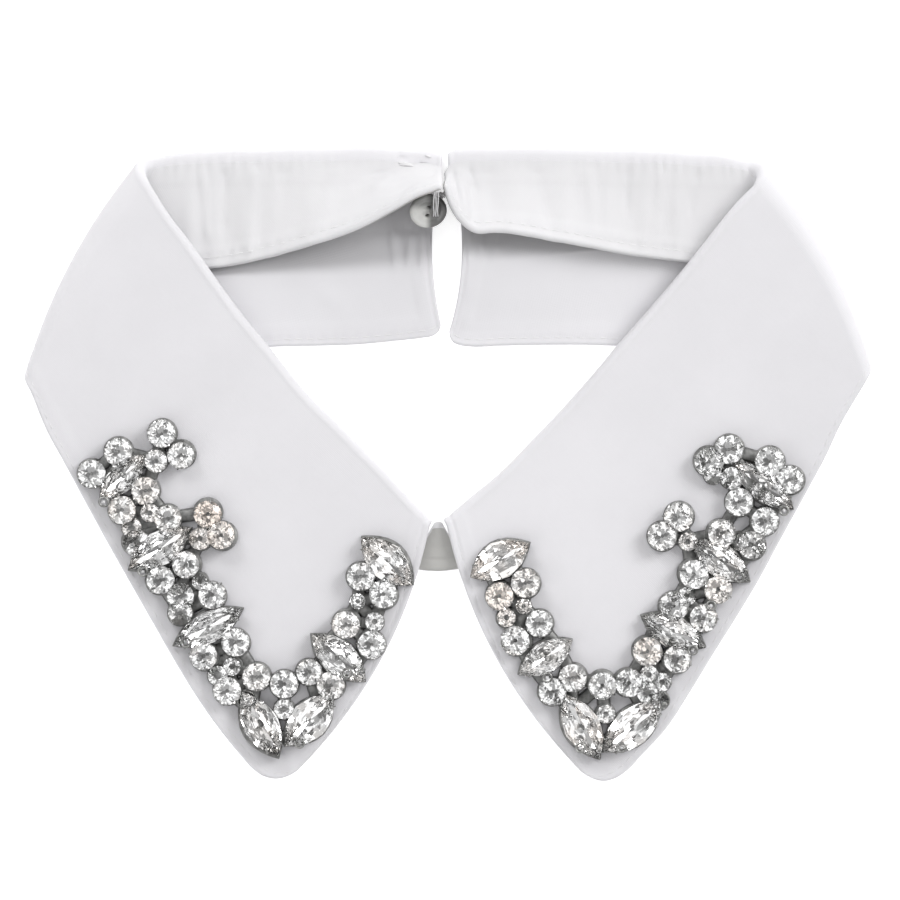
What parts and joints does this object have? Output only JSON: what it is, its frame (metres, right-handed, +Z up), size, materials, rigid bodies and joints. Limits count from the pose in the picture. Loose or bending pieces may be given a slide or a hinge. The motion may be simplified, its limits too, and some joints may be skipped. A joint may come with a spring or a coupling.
{
  "type": "detachable shirt collar",
  "caption": "Detachable white pointed shirt collar with a stand, crystal trim on its leaf points and a button and loop at the centre back, laid flat.",
  "frame": {"origin": "on the table, under the middle of the laid-out collar", "axes": "+X to the right of the collar as seen from above, +Y to its back, where it buttons, +Z up from the table"},
  "size_m": [0.217, 0.1625, 0.0178],
  "materials": {
    "shirting": "matte",
    "crystal": "gloss",
    "silver_setting": "gloss",
    "button_white": "gloss",
    "thread": "matte"
  },
  "bodies": {
    "root": {"leaf_left": "shirting", "leaf_right": "shirting", "stand": "shirting", "trim_left": "crystal", "trim_right": "crystal", "button": "button_white", "button_shank": "thread", "button_loop": "thread"}
  },
  "joints": []
}
